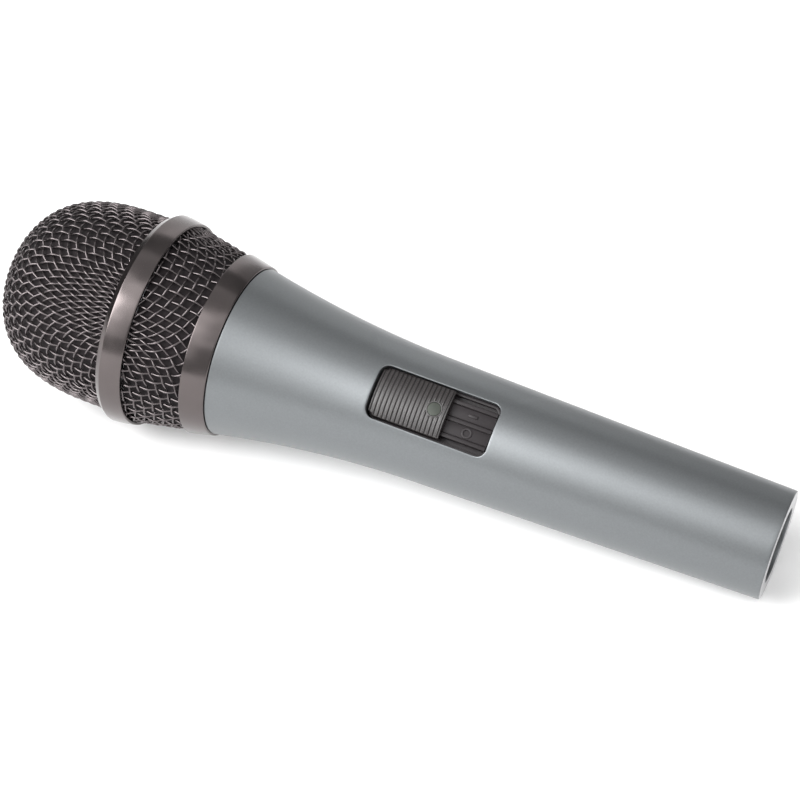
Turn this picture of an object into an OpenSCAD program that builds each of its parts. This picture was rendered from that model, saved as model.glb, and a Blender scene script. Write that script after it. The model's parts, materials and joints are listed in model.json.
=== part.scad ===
// Handheld dynamic microphone with a sliding switch, lying on its side as it is put down.
//
// Every piece is modelled upright on the microphone's own axis: z runs from the connector end
// (z = 0) to the tip of the grille, and +x is the side the switch faces. laid_down() then puts the
// whole microphone on the floor, resting on its front ring and the rim of its connector end.

/* [Handle] */
// Radius of the handle at the connector end
tail_r = 11.8; // [11.6:0.1:12.2]
// Length of the handle, from the connector end to the seam under the grille
handle_len = 122; // [120:1:126]
// Growth of the handle's radius per millimetre of length
handle_taper = 0.0246; // [0.022:0.0002:0.028]
// Height at which the handle starts to flare towards the grille
flare_z = 77; // [75:1:79]
// Bend radius of the flare
flare_bend = 243; // [235:1:260]
// Thickness of the handle's wall
wall = 2.6; // [2.4:0.1:2.7]

/* [Grille] */
// Outer radius of the threaded collar where it meets the handle
collar_r = 19.4; // [19.3:0.1:19.8]
// Largest radius of the front ring
ring_r = 23.9; // [23.7:0.1:24.6]
// Outer radius of the front basket where it leaves the ring
dome_r = 22.25; // [22:0.05:22.6]
// Height of the front basket above the ring
dome_h = 31.4; // [29:0.1:34]
// Thickness of the woven wire baskets
mesh_t = 1; // [0.8:0.05:1]

/* [Switch] */
// Length of the opening for the switch
opening_len = 26.9; // [26.4:0.1:27.2]
// Width of the opening for the switch
opening_w = 11.8; // [11.5:0.1:12]
// Height of the end of the opening nearest the connector
opening_z = 61.6; // [61:0.1:62]
// Radius of the opening's corners
opening_corner = 2; // [1.8:0.1:2]
// Length of the slider
slider_len = 16.2; // [15.8:0.1:16.4]
// Number of grip ribs on the slider
ribs = 17; // [12:1:17]
// Angle by which the switch leans over from straight up as the microphone lies
switch_lean = 35.5; // [30:0.5:40]

/* [Connector] */
// Radius of the socket that takes the cable's plug
socket_r = 8.05; // [8:0.05:8.1]
// Depth of the socket
socket_depth = 16; // [15.5:0.5:16]
// Radius of a contact pin
pin_r = 1.19; // [1.15:0.01:1.2]
// Distance of each contact pin from the socket's axis
pin_offset = 3.96; // [3.9:0.01:4]

/* [Capsule] */
// Outer radius of the capsule's housing
capsule_r = 14.6; // [14.4:0.1:14.7]
// Radius of the voice coil's middle
coil_r = 7.6; // [7.58:0.01:7.62]

/* [Hidden] */
$fn = 96;

PAINT = "#8d979b";
DARK_PLATING = "#3c3836";
WIRE = "#4a4a4c";
BLACK_PLASTIC = "#262427";

// Small gaps between pieces
seat_gap = 0.05;

// Handle
rim_chamfer = 0.4;
seam_z = handle_len;
neck_seat_r = 15.25;
neck_seat_depth = 8;
insert_r = 9;
insert_t = 5.5;
insert_seat_len = 8;
outline_steps = 20;

// Grille, from the handle's seam upwards
collar_z = seam_z + 0.2;
collar_len = 5.2;
collar_flare = 1.2;
collar_top = collar_z + collar_len;
collar_top_r = collar_r + collar_flare;
thread_r = 17.2;
collar_bore_r = thread_r + seat_gap;
neck_bore_r = 14.3;
neck_top = seam_z + 5.2;
ring_z = seam_z + 18;
ring_rear_r = ring_r - 0.7;
ring_edge_z = ring_z + 4.6;
ring_top = ring_z + 5.9;
ring_bulge = 0.09;
band_low_r = collar_top_r - 0.5;
band_top_r = ring_rear_r - 0.6;
groove = 1.1;
dome_z = ring_top;
dome_shoulder = 5.1;
dome_power = 2.65;
dome_steps = 28;
foam_t = 3;

// How the microphone lies: on the front ring's edge and on the rim of its connector end
rest_tilt = atan((ring_r - tail_r) / (ring_edge_z - rim_chamfer));
axis_height = tail_r * cos(rest_tilt) - rim_chamfer * sin(rest_tilt);

// Switch
opening_top = opening_z + opening_len;
frame_w = opening_w - 0.3;
frame_wall = 0.6;
frame_floor_x = 8.3;
rim_x = 10.2;
channel_x = 9;
pad_x = 10.8;
rail_top_x = 11;
rail_half_w = 4.2;
rail_w = 0.9;
mark_y = rail_half_w / 2 - rail_w / 4;
cap_x = 11.35;
rib_top_r = 13.4;
rib_h = 0.35;
rib_w = 0.5;
cap_r = rib_top_r - rib_h;
slider_w = opening_w - 1;
slider_y = 0.2;
slider_top = opening_top - 0.3;
slider_z = slider_top - slider_len;
grip_magnet_r = 1.5;
grip_magnet_y = 0.3;
grip_magnet_z = slider_z + 2.8;
web_z = opening_top - 5.7;
web_x = 4.5;
frame_screw_z = opening_top - 3.7;
board_x = 5;
board_t = 1;
peg_z = [opening_z + 2.6, opening_z + 18.8];
reed_z = [opening_z + 4.9, opening_z + 16.9];
reed_x = 7.2;
reed_y = -2;

// Connector
pin_tip_z = 2.2;
pin_tip_round = 0.9;
shank_r = pin_r - 0.29;
shank_hole_r = shank_r + 0.02;
cup_z = socket_depth + insert_t;
cup_end = cup_z + 4.5;
pin_angles = [270, 90, 180];
screw_z = socket_depth + 2.8;

// Capsule, from the handle's seam upwards
stem_r = 11.4;
stem_bore_r = 10.3;
stem_z = seam_z - 5;
shoulder_z = seam_z + 7.1;
yoke_z = seam_z + 3;
yoke_top = yoke_z + 9.5;
yoke_gap_r = 8.3;
pole_r = 6.9;
pole_t = 2.5;
magnet_r = 6.2;
magnet_t = 5.2;
yoke_floor_t = 1.8;
ledge_z = seam_z + 13.6;
housing_top = seam_z + 19;
cap_top = seam_z + 23;
coil_t = 0.45;
film_t = 0.15;
dome_film_r = 7.9;

// Lead ends
lead_r = 0.6;
terminal_y = 4;
tag_end = stem_z - 4.2;
// Ways of the leads, one for each lead: [x, y, z] on the microphone's own axis
CAPSULE_HOT = [
    [0, 4, 112.8], [0, 4, 109], [0, 3.8, 104], [0.5, 3.5, 98], [1, 3, 92], [1.2, 2.6, 86],
    [1.3, 2.4, 81.5], [1.8, 2.3, 78.4], [3.2, 2.3, 77], [4.95, 2.3, 76.8]
];
CAPSULE_COLD = [
    [0, -4, 112.8], [0, -4, 109], [0, -3.8, 104], [0.5, -3.5, 98], [1, -3, 92], [1.2, -2.6, 86],
    [1.3, -2.4, 81.5], [1.8, -2.3, 78.4], [3.2, -2.3, 77], [4.95, -2.3, 76.8]
];
LEAD_GROUND = [
    [2.3, -3.22, 26], [2.4, -3.3, 30], [2.2, -3.6, 36], [1.8, -3.4, 43], [1.4, -3.3, 50],
    [1.2, -3.2, 57], [1.3, -3.1, 63], [1.8, -3, 66.4], [3.2, -3, 67.8], [4.95, -3, 68]
];
LEAD_HOT = [
    [-2.3, 3.22, 26], [-2.2, 3.3, 30], [-1.4, 3.6, 36], [-0.4, 3.4, 43], [0.6, 3.2, 50],
    [1, 3.1, 57], [1.3, 3, 63], [1.8, 3, 66.4], [3.2, 3, 67.8], [4.95, 3, 68]
];
LEAD_COLD = [
    [-3.22, -2.3, 26], [-3.2, -2.2, 30], [-2.8, -1.6, 36], [-1.8, -0.8, 43], [-0.4, -0.2, 50],
    [0.8, 0, 57], [1.3, 0, 63], [1.8, 0, 66.4], [3.2, 0, 67.8], [4.95, 0, 68]
];

// ---------------------------------------------------------------- outlines

function handle_r(z) =
    tail_r + handle_taper * z + (z > flare_z ? pow(z - flare_z, 2) / (2 * flare_bend) : 0);

// Points [r, z] of the handle's flare, moved inwards by a wall thickness
function flare_points(inset, z_low, z_high) = [
    for (i = [0:outline_steps])
        let (z = z_low + (z_high - z_low) * i / outline_steps)
            [handle_r(z) - inset, z]
];

// Points [r, z] of the front basket's outline, from its rim to its tip, moved inwards by an inset
function dome_points(inset) = [
    for (i = [0:dome_steps])
        let (a = 90 * i / dome_steps, e = 2 / dome_power)
            [
                (dome_r - inset) * pow(cos(a), e),
                dome_z + dome_shoulder + (dome_h - dome_shoulder - inset) * pow(sin(a), e)
            ]
];

// Points [r, z] of the front ring's bulged outside
function ring_points(steps) = [
    for (i = [0:steps])
        let (t = i / steps)
            [
                ring_rear_r + (ring_r - ring_rear_r) * t + 4 * ring_bulge * t * (1 - t),
                ring_z + (ring_edge_z - ring_z) * t
            ]
];

// Highest reach of an outline along the floor, for centring the microphone
function reach(points) = max([for (p = points) p[1] * cos(rest_tilt) + p[0] * sin(rest_tilt)]);

head_reach = reach(dome_points(0));
tail_reach = tail_r * sin(rest_tilt) - rim_chamfer * cos(rest_tilt);
centre_shift = (head_reach - tail_reach) / 2;

function backwards(list) = [for (i = [len(list) - 1:-1:0]) list[i]];
function band_r(z) =
    band_low_r + (band_top_r - band_low_r) * (z - collar_top) / (ring_z - collar_top);

// ---------------------------------------------------------------- shared shapes

// The microphone as it lies on the floor, its connector end towards +x
module laid_down() {
    translate([centre_shift, 0, axis_height])
        rotate([0, rest_tilt - 90, 0])
            rotate([0, 0, -switch_lean])
                children();
}

// Turns connector parts so that the lowest contact points at the floor
module connector_turn() {
    rotate([0, 0, switch_lean])
        children();
}

module lathe(points) {
    rotate_extrude()
        polygon(points);
}

module ring(r_in, r_out, z_low, z_high) {
    lathe([[r_in, z_low], [r_out, z_low], [r_out, z_high], [r_in, z_high]]);
}

module disc(r, z_low, z_high) {
    translate([0, 0, z_low])
        cylinder(r = r, h = z_high - z_low);
}

module block(low, high) {
    translate(low)
        cube(high - low);
}

// A flat shape drawn as [y, z], extruded along x
module along_x(x_low, x_high) {
    translate([x_low, 0, 0])
        rotate([90, 0, 90])
            linear_extrude(x_high - x_low)
                children();
}

module round_slot(w, z_low, z_high, r) {
    translate([-w / 2 + r, z_low])
        square([w - 2 * r, z_high - z_low]);
    translate([-w / 2, z_low + r])
        square([w, z_high - z_low - 2 * r]);
    for (y = [-1, 1], z = [z_low + r, z_high - r])
        translate([y * (w / 2 - r), z])
            circle(r);
}

// A round bar along x
module peg(r, x_low, x_high, y, z) {
    translate([x_low, y, z])
        rotate([0, 90, 0])
            cylinder(r = r, h = x_high - x_low);
}

function unit(v) = v / norm(v);
function heading(p, i) = unit(p[min(i + 1, len(p) - 1)] - p[max(i - 1, 0)]);
function lead_heading(p, i) = i == 0 ? unit([0, 0, p[1][2] - p[0][2]])
    : i == len(p) - 1 ? [1, 0, 0] : heading(p, i);

// A wire swept along its way, cut square to the tag at one end and to the board at the other
module lead(way) {
    sides = 8;
    n = len(way);
    rings = [
        for (i = [0:n - 1])
            let (t = lead_heading(way, i), u = unit(cross([0, 1, 0], t)), v = cross(t, u))
                for (k = [0:sides - 1])
                    way[i] + lead_r * (cos(360 * k / sides) * u + sin(360 * k / sides) * v)
    ];
    walls = [
        for (i = [0:n - 2], k = [0:sides - 1])
            [
                i * sides + k, (i + 1) * sides + k,
                (i + 1) * sides + (k + 1) % sides, i * sides + (k + 1) % sides
            ]
    ];
    low_end = [for (k = [0:sides - 1]) k];
    high_end = [for (k = [sides - 1:-1:0]) (n - 1) * sides + k];
    polyhedron(rings, concat(walls, [low_end], [high_end]), convexity = 6);
}

// ---------------------------------------------------------------- handle

module handle_outline() {
    cavity_low = socket_depth + insert_seat_len;
    neck_low = seam_z - neck_seat_depth;
    polygon(concat(
        [[socket_r + rim_chamfer, 0], [tail_r - rim_chamfer, 0], [tail_r, rim_chamfer]],
        flare_points(0, flare_z, seam_z),
        [[neck_seat_r, seam_z], [neck_seat_r, neck_low]],
        backwards(flare_points(wall, flare_z, neck_low)),
        [
            [handle_r(cavity_low) - wall, cavity_low], [insert_r, cavity_low],
            [insert_r, socket_depth], [socket_r, socket_depth], [socket_r, rim_chamfer]
        ]
    ));
}

// Bridge across the handle that the switch frame is screwed to
module screw_bridge() {
    intersection() {
        block([web_x, -handle_r(web_z), web_z], [frame_floor_x, handle_r(web_z), opening_top - 0.2]);
        disc(handle_r(web_z) - wall + 0.4, web_z - 1, opening_top + 1);
    }
}

module handle_shell() color(PAINT) laid_down() {
    difference() {
        union() {
            rotate_extrude()
                handle_outline();
            screw_bridge();
        }
        along_x(frame_floor_x, handle_r(opening_top) + 1)
            round_slot(opening_w, opening_z, opening_top, opening_corner);
        peg(0.8, web_x - 1, frame_floor_x + 1, 0, frame_screw_z);
        connector_turn() {
            block([socket_r - 1, -2, 3.2], [socket_r + 0.9, 2, 6.4]);
            peg(1.25, -tail_r - 2, -insert_r + 1, 0, screw_z);
        }
    }
}

module threaded_neck() color("silver") laid_down() {
    lathe([
        [neck_bore_r, seam_z - neck_seat_depth], [neck_seat_r - seat_gap, seam_z - neck_seat_depth],
        [neck_seat_r - seat_gap, seam_z], [thread_r, seam_z], [thread_r, neck_top - 0.4],
        [thread_r - 0.4, neck_top], [neck_bore_r, neck_top]
    ]);
}

// ---------------------------------------------------------------- capsule

module shock_mount() color("#1d1d1d") laid_down() {
    outer = neck_bore_r - seat_gap;
    bore = stem_r + seat_gap;
    lathe([
        [bore, stem_z], [outer, stem_z], [outer, neck_top + 0.1], [outer + 1.4, neck_top + 0.1],
        [outer + 1.4, shoulder_z - 0.1], [bore, shoulder_z - 0.1]
    ]);
}

module capsule_housing() color(BLACK_PLASTIC) laid_down() {
    difference() {
        lathe([
            [stem_bore_r, stem_z], [stem_r, stem_z], [stem_r, shoulder_z], [capsule_r, shoulder_z],
            [capsule_r, housing_top], [capsule_r - 0.9, housing_top], [capsule_r - 0.9, ledge_z + 0.6],
            [capsule_r - 1.6, ledge_z + 0.6], [capsule_r - 1.6, shoulder_z + 2],
            [stem_bore_r, shoulder_z + 2]
        ]);
        for (i = [0:7])
            rotate([0, 0, 45 * i])
                translate([12.2, 0, shoulder_z - 1])
                    cylinder(r = 0.6, h = 4);
    }
}

module capsule_cap() color("#2f2f31") laid_down() {
    difference() {
        lathe([
            [0, cap_top - 1.4], [capsule_r - 2, cap_top - 1.4], [capsule_r - 2, housing_top + seat_gap],
            [capsule_r, housing_top + seat_gap], [capsule_r, cap_top - 0.8], [capsule_r - 0.8, cap_top],
            [0, cap_top]
        ]);
        for (row = [[0, 1], [4.2, 6], [8.4, 12]])
            for (i = [0:row[1] - 1])
                rotate([0, 0, 360 * i / row[1]])
                    translate([row[0], 0, cap_top - 3])
                        cylinder(r = 0.9, h = 4);
    }
}

module diaphragm_clamp() color("gold") laid_down()
    ring(capsule_r - 2.4, capsule_r - 0.95, ledge_z + 0.9, ledge_z + 2);

// Flexible border of the diaphragm: one half wave between the dome and the clamped edge
module diaphragm_surround() color("#d8c690") laid_down() {
    inner = dome_film_r + seat_gap;
    crest_r = 10.2;
    crest_h = 0.7;
    edge = capsule_r - 1;
    z = ledge_z + 0.65;
    lathe([
        [inner, z], [crest_r, z + crest_h], [edge - 1.2, z], [edge, z], [edge, z + film_t],
        [edge - 1.2, z + film_t], [crest_r, z + crest_h + film_t], [inner, z + film_t]
    ]);
}

module diaphragm_dome() color("#e3d39f") laid_down() {
    steps = 8;
    height = 1.6;
    z = ledge_z + 0.65;
    cap_r = coil_r - coil_t / 2;
    curve = [for (i = [0:steps]) [cap_r * cos(90 * i / steps), z + height * sin(90 * i / steps)]];
    under = concat([[dome_film_r, z]], curve);
    over = [for (p = under) [p[0], p[1] + film_t]];
    lathe(concat(under, backwards(over)));
}

module voice_coil() color("#b5651d") laid_down()
    ring(coil_r - coil_t / 2, coil_r + coil_t / 2, yoke_top - pole_t - 0.4, ledge_z + 0.65);

module pole_plate() color("#9a9a9a") laid_down()
    disc(pole_r, yoke_top - pole_t, yoke_top);

module magnet() color("#b9bcc0") laid_down()
    disc(magnet_r, yoke_z + yoke_floor_t, yoke_z + yoke_floor_t + magnet_t);

module yoke() color("#9a9a9a") laid_down() {
    outer = stem_bore_r - seat_gap;
    lathe([
        [0, yoke_z], [outer, yoke_z], [outer, yoke_top], [yoke_gap_r, yoke_top],
        [yoke_gap_r, yoke_z + yoke_floor_t], [0, yoke_z + yoke_floor_t]
    ]);
}

module chamber_felt() color("#c9c4b8") laid_down()
    disc(stem_bore_r - 0.1, seam_z - 1.5, yoke_z - 0.1);

module vent_felt() color("#c9c4b8") laid_down()
    ring(stem_bore_r + 0.2, capsule_r - 1.7, shoulder_z + 2, shoulder_z + 2.5);

module terminal_board() color("#4d6b3c") laid_down()
    disc(stem_bore_r - 0.1, stem_z + 0.2, stem_z + 1.6);

module capsule_terminals() color("#c0c0c0") laid_down()
    for (y = [-terminal_y, terminal_y])
        block([-0.9, y - 0.2, tag_end], [0.9, y + 0.2, stem_z + 0.2]);

// ---------------------------------------------------------------- switch

module switch_frame() color(BLACK_PLASTIC) laid_down() {
    z_low = opening_z + 0.2;
    z_high = opening_top - 0.2;
    corner = opening_corner - 0.15;
    channel_w = frame_w - 2 * frame_wall;
    difference() {
        union() {
            along_x(frame_floor_x, channel_x)
                round_slot(frame_w, z_low, z_high, corner);
            along_x(channel_x, rim_x)
                difference() {
                    round_slot(frame_w, z_low, z_high, corner);
                    round_slot(channel_w, z_low + frame_wall, z_high - frame_wall, corner - frame_wall);
                }
            plateau(z_low + 0.3, z_high - 0.3);
            raised_marks();
            for (z = peg_z)
                peg(1.2, board_x + board_t, frame_floor_x + 0.1, 0, z);
            for (z = peg_z)
                peg(0.7, board_x - 0.4, frame_floor_x, 0, z);
        }
        peg(0.9, frame_floor_x - 1, pad_x + 1, 0, frame_screw_z);
        peg(1.7, pad_x - 1.3, pad_x + 1, 0, frame_screw_z);
    }
}

// The floor that the slider runs over: two pads between three rails, undercut at its sides
module plateau(z_low, z_high) {
    neck_w = rail_half_w - 0.45;
    ledge_x = 10.2;
    groove_w = 0.15;
    block([channel_x - 0.1, -neck_w, z_low], [ledge_x, neck_w, z_high]);
    block([ledge_x, -rail_half_w, z_low], [pad_x - 0.3, rail_half_w, z_high]);
    for (y = [-1, 0, 1] * (rail_half_w - rail_w / 2))
        block([pad_x - 0.31, y - rail_w / 2, z_low], [rail_top_x, y + rail_w / 2, z_high]);
    pad_w = rail_half_w - 1.5 * rail_w - 2 * groove_w;
    for (y = [-mark_y, mark_y])
        block([pad_x - 0.31, y - pad_w / 2, z_low], [pad_x, y + pad_w / 2, z_high]);
}

// A raised bar and a raised ring at each end, one pair uncovered at each end of the travel
module raised_marks() {
    mark_h = 0.25;
    for (z = [opening_z + 5.4, opening_top - 7.2]) {
        block([pad_x - 0.1, mark_y - 0.35, z - 1.05], [pad_x + mark_h, mark_y + 0.35, z + 1.05]);
        translate([pad_x - 0.1, -mark_y, z])
            rotate([0, 90, 0])
                difference() {
                    cylinder(r = 1.15, h = 0.1 + mark_h);
                    translate([0, 0, -1])
                        cylinder(r = 0.7, h = 2 + mark_h);
                }
    }
}

// The ribbed cap follows the handle's roundness; two hooked skirts hold it to the rails
module switch_slider() color(BLACK_PLASTIC) laid_down() {
    pitch = (slider_len - rib_w - 0.4) / (ribs - 1);
    skirt_z = [slider_z + 0.6, slider_top - 1.5];
    difference() {
        intersection() {
            union() {
                disc(cap_r, slider_z, slider_top);
                for (i = [0:ribs - 1])
                    let (z = slider_z + 0.3 + i * pitch)
                        disc(rib_top_r, z, z + rib_w);
            }
            along_x(cap_x, rib_top_r + 1)
                translate([slider_y, 0])
                    round_slot(slider_w, slider_z - 4, slider_top, opening_corner - 0.3);
        }
        peg(grip_magnet_r + 0.3, cap_r + 0.1, rib_top_r + 1, grip_magnet_y, grip_magnet_z);
        peg(grip_magnet_r, cap_x - 1, rib_top_r + 1, grip_magnet_y, grip_magnet_z);
    }
    for (side = [-1, 1]) {
        skirt = side * (rail_half_w + 0.4);
        hook = side * (rail_half_w + 0.2);
        block([9.4, skirt - 0.25, skirt_z[0]], [cap_x, skirt + 0.25, skirt_z[1]]);
        block([9.4, hook - 0.45, skirt_z[0]], [9.95, hook + 0.45, skirt_z[1]]);
    }
}

module slider_magnet() color("#8a8d88") laid_down()
    peg(grip_magnet_r - 0.03, cap_x, cap_r + 0.1, grip_magnet_y, grip_magnet_z);

module frame_screw() color("#b8b8b8") laid_down() {
    head_x = pad_x - 1.25;
    difference() {
        peg(1.55, head_x, pad_x - 0.15, 0, frame_screw_z);
        block([pad_x - 0.6, -1.1, frame_screw_z - 0.2], [pad_x, 1.1, frame_screw_z + 0.2]);
        block([pad_x - 0.6, -0.2, frame_screw_z - 1.1], [pad_x, 0.2, frame_screw_z + 1.1]);
    }
    peg(0.77, web_x + 0.3, head_x + 0.01, 0, frame_screw_z);
}

module switch_board() color("#3f6b3a") laid_down() {
    difference() {
        block([board_x, -4.5, opening_z + 1.2], [board_x + board_t, 4.5, opening_z + 20.2]);
        for (z = peg_z)
            peg(0.75, board_x - 1, board_x + board_t + 1, 0, z);
    }
}

module reed_switch() color([0.75, 0.85, 0.8, 0.6]) laid_down()
    translate([reed_x, reed_y, 0])
        disc(1, reed_z[0], reed_z[1]);

module reed_leads() color("silver") laid_down() {
    r = 0.3;
    for (end = [0, 1]) {
        outward = end == 0 ? -1 : 1;
        elbow_z = reed_z[end] + outward * 1.2;
        translate([reed_x, reed_y, min(reed_z[end], elbow_z)])
            cylinder(r = r, h = 1.2);
        translate([reed_x, reed_y, elbow_z])
            sphere(r);
        peg(r, board_x + board_t, reed_x, reed_y, elbow_z);
    }
}

// ---------------------------------------------------------------- connector

module at_contact(i) {
    rotate([0, 0, pin_angles[i]])
        translate([pin_offset, 0, 0])
            children();
}

module connector_insert() color(BLACK_PLASTIC) laid_down() connector_turn() {
    difference() {
        disc(insert_r - seat_gap, socket_depth, cup_z);
        for (i = [0:2])
            at_contact(i)
                disc(shank_hole_r, socket_depth - 1, cup_z + 1);
        peg(1.25, -insert_r - 1, -insert_r + 0.9, 0, screw_z);
    }
}

module contact_pin(i) color("#c9c9c4") laid_down() connector_turn() at_contact(i) {
    lathe([
        [0, pin_tip_z], [pin_r - pin_tip_round, pin_tip_z], [pin_r - 0.3, pin_tip_z + 0.35],
        [pin_r, pin_tip_z + pin_tip_round], [pin_r, socket_depth - 0.02], [shank_r, socket_depth - 0.02],
        [shank_r, cup_end], [0, cup_end]
    ]);
}

module contact_pin_1() contact_pin(0);
module contact_pin_2() contact_pin(1);
module contact_pin_3() contact_pin(2);

// Spring tag from the first contact to the inside of the handle
module ground_tag() color("#b9a24a") laid_down() connector_turn() {
    difference() {
        block([-1.3, -8.6, cup_z + 0.02], [1.3, -pin_offset + 1.6, cup_z + 0.42]);
        at_contact(0)
            disc(shank_hole_r, cup_z - 1, cup_z + 1);
    }
    block([-1.3, -8.6, cup_z + 0.4], [1.3, -8.2, cup_z + 4]);
}

module insert_screw() color("#3a3a3a") laid_down() connector_turn() {
    difference() {
        peg(1.2, -tail_r - 0.1, -insert_r + 0.8, 0, screw_z);
        block([-tail_r - 1, -0.25, screw_z - 2], [-tail_r + 0.6, 0.25, screw_z + 2]);
    }
}

// ---------------------------------------------------------------- leads

module capsule_lead_hot() color("#b02a24") laid_down() lead(CAPSULE_HOT);
module capsule_lead_cold() color("#e6e6e0") laid_down() lead(CAPSULE_COLD);
module connector_lead_ground() color("#202020") laid_down() lead(LEAD_GROUND);
module connector_lead_hot() color("#b02a24") laid_down() lead(LEAD_HOT);
module connector_lead_cold() color("#e6e6e0") laid_down() lead(LEAD_COLD);

// ---------------------------------------------------------------- grille

module neck_washer() color("#151515") laid_down()
    ring(thread_r + 0.15, thread_r + 1.2, seam_z + 0.02, seam_z + 0.75);

module threaded_collar() color(DARK_PLATING) laid_down() {
    lip_r = 19.1;
    lip_top = collar_top + 1;
    washer_seat_r = thread_r + 1.3;
    lathe([
        [washer_seat_r, collar_z], [collar_r - 0.35, collar_z], [collar_r, collar_z + 0.35],
        [collar_top_r - 0.2, collar_top - 0.25], [collar_top_r - 0.4, collar_top],
        [band_low_r + seat_gap, collar_top], [band_low_r + seat_gap, collar_top - groove],
        [lip_r, collar_top - groove], [lip_r, lip_top], [lip_r - 1.2, lip_top],
        [collar_bore_r, lip_top - 0.8], [collar_bore_r, seam_z + 0.8], [washer_seat_r, seam_z + 0.8]
    ]);
}

module rear_mesh() color(WIRE) laid_down() {
    z_low = collar_top - groove + seat_gap;
    z_high = ring_z + groove;
    lathe([
        [band_low_r - mesh_t, z_low], [band_low_r, z_low], [band_low_r, collar_top],
        [band_top_r, ring_z], [band_top_r, z_high], [band_top_r - mesh_t, z_high],
        [band_top_r - mesh_t, ring_z], [band_low_r - mesh_t, collar_top]
    ]);
}

module front_ring() color(DARK_PLATING) laid_down() {
    flange_r = dome_r - mesh_t - 0.7;
    flange_low = ring_z + groove + seat_gap;
    flange_high = flange_low + 1.5;
    lathe(concat(
        ring_points(6),
        [
            [ring_r - 0.85, ring_top], [dome_r + seat_gap, ring_top], [dome_r + seat_gap, flange_high],
            [flange_r, flange_high], [flange_r, flange_low], [band_top_r + seat_gap, flange_low],
            [band_top_r + seat_gap, ring_z]
        ]
    ));
}

module front_mesh() color(WIRE) laid_down() {
    z_low = ring_z + groove + 1.6;
    lathe(concat(
        [[dome_r - mesh_t, z_low], [dome_r, z_low]],
        dome_points(0),
        backwards(dome_points(mesh_t))
    ));
}

module mesh_hoop() color("#6b6b6b") laid_down() {
    outer = dome_r - mesh_t - 0.75;
    ring(outer - 0.8, outer, ring_z + 0.6, ring_z + 4.6);
}

module rear_foam() color("#2a2a2c") laid_down() {
    z_low = collar_top + 1.2;
    z_high = ring_z + 0.4;
    skin = mesh_t + 0.15;
    lathe([
        [band_r(z_low) - skin - 2.6, z_low], [band_r(z_low) - skin, z_low],
        [band_r(ring_z) - skin, z_high], [band_r(ring_z) - skin - 2.6, z_high]
    ]);
}

module front_foam() color("#2a2a2c") laid_down() {
    skin = mesh_t + 0.15;
    z_low = ring_z + 4.8;
    lathe(concat(
        [[dome_r - skin - foam_t, z_low], [dome_r - skin, z_low]],
        dome_points(skin),
        backwards(dome_points(skin + foam_t))
    ));
}

handle_shell();
threaded_neck();
shock_mount();
capsule_housing();
capsule_cap();
diaphragm_clamp();
diaphragm_surround();
pole_plate();
magnet();
yoke();
chamber_felt();
vent_felt();
terminal_board();
capsule_terminals();
switch_frame();
frame_screw();
switch_board();
reed_switch();
reed_leads();
connector_insert();
contact_pin_1();
contact_pin_2();
contact_pin_3();
ground_tag();
insert_screw();
capsule_lead_hot();
capsule_lead_cold();
connector_lead_ground();
connector_lead_hot();
connector_lead_cold();
switch_slider();
slider_magnet();
diaphragm_dome();
voice_coil();
neck_washer();
threaded_collar();
rear_mesh();
front_ring();
front_mesh();
mesh_hoop();
rear_foam();
front_foam();
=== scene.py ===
"""Looks of the handheld dynamic microphone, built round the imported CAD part.

Everything is modelled upright on the microphone's own axis, in millimetres: z runs from the
connector end to the tip of the grille and +x is the side the switch faces. MIC then takes it to
the row frame, where the microphone lies on its side.
"""

import json
import math

import bmesh
import bpy
import numpy as np
from mathutils import Matrix, Vector, noise


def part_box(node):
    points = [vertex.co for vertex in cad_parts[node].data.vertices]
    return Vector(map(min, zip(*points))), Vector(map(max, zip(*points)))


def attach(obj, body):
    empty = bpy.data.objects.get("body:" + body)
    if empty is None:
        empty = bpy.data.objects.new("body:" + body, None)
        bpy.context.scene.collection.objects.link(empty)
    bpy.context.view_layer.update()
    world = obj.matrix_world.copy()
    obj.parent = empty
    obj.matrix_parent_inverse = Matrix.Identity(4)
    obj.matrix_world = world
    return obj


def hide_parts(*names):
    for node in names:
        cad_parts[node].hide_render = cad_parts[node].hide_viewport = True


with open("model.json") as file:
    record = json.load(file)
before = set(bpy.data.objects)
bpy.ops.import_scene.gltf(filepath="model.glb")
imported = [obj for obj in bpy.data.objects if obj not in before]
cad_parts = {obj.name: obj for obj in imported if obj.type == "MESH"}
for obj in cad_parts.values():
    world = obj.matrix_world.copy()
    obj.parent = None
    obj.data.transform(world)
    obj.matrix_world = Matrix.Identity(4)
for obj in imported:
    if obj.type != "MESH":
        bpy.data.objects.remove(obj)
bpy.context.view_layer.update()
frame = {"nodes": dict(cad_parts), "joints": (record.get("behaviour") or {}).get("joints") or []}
nodes = frame["nodes"]


# ---------------------------------------------------------------- the microphone's own frame

hinge = next(j for j in frame["joints"] if j["name"] == "grille_unscrew")
axis_z = -Vector(hinge["axis"]).normalized()
if axis_z.x > 0:
    axis_z = -axis_z
on_axis = Vector(hinge["pos_m"])
lo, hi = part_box("switch_board")
across = (lo + hi) / 2 - on_axis
axis_x = (across - axis_z * across.dot(axis_z)).normalized()
axis_y = axis_z.cross(axis_x)


def flat_coords(node):
    return np.array([v.co for v in nodes[node].data.vertices], float)


tail_at = (flat_coords("handle_shell") - np.array(on_axis)) @ np.array(axis_z)
origin = on_axis + axis_z * float(tail_at.min())
MM = 0.001
MIC = Matrix.Translation(origin) @ Matrix((
    (axis_x.x * MM, axis_y.x * MM, axis_z.x * MM, 0),
    (axis_x.y * MM, axis_y.y * MM, axis_z.y * MM, 0),
    (axis_x.z * MM, axis_y.z * MM, axis_z.z * MM, 0),
    (0, 0, 0, 1),
))
UPWARDS = math.atan2(axis_y.z, axis_x.z)


def local(node):
    """A node's vertices in the microphone's own frame, in mm."""
    inv = np.array(MIC.inverted())
    return flat_coords(node) @ inv[:3, :3].T + inv[:3, 3]


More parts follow.
